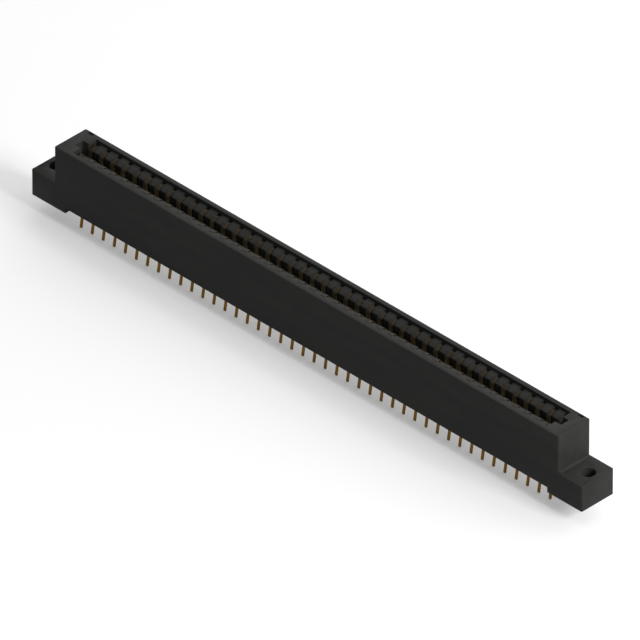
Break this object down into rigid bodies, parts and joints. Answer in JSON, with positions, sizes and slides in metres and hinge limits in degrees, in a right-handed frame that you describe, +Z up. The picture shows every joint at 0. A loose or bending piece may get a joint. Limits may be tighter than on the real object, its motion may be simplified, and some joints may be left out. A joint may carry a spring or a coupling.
{
  "type": "card edge connector",
  "caption": "Long black card edge connector with two rows of spring contacts facing a card slot, solder tails below and a mounting ear at each end.",
  "frame": {"origin": "midway between the two mounting holes, in the plane of the board that the feet stand on", "axes": "+X along the contact rows, +Y across the card slot towards the rear row, +Z up, out of the card slot"},
  "size_m": [0.1564, 0.009, 0.019],
  "materials": {
    "insulator": "moulded black glass-filled polyester, satin",
    "contact_metal": "copper alloy strip, gold plated over nickel"
  },
  "bodies": {
    "root": {"insulator_housing": "insulator", "contact_pair_01": "contact_metal", "contact_pair_02": "contact_metal", "contact_pair_03": "contact_metal", "contact_pair_04": "contact_metal", "contact_pair_05": "contact_metal", "contact_pair_06": "contact_metal", "contact_pair_07": "contact_metal", "contact_pair_08": "contact_metal", "contact_pair_09": "contact_metal", "contact_pair_10": "contact_metal", "contact_pair_11": "contact_metal", "contact_pair_12": "contact_metal", "contact_pair_13": "contact_metal", "contact_pair_14": "contact_metal", "contact_pair_15": "contact_metal", "contact_pair_16": "contact_metal", "contact_pair_17": "contact_metal", "contact_pair_18": "contact_metal", "contact_pair_19": "contact_metal", "contact_pair_20": "contact_metal", "contact_pair_21": "contact_metal", "contact_pair_22": "contact_metal", "contact_pair_23": "contact_metal", "contact_pair_24": "contact_metal", "contact_pair_25": "contact_metal", "contact_pair_26": "contact_metal", "contact_pair_27": "contact_metal", "contact_pair_28": "contact_metal", "contact_pair_29": "contact_metal", "contact_pair_30": "contact_metal", "contact_pair_31": "contact_metal", "contact_pair_32": "contact_metal", "contact_pair_33": "contact_metal", "contact_pair_34": "contact_metal", "contact_pair_35": "contact_metal", "contact_pair_36": "contact_metal", "contact_pair_37": "contact_metal", "contact_pair_38": "contact_metal", "contact_pair_39": "contact_metal", "contact_pair_40": "contact_metal", "contact_pair_41": "contact_metal", "contact_pair_42": "contact_metal", "contact_pair_43": "contact_metal"}
  },
  "joints": []
}
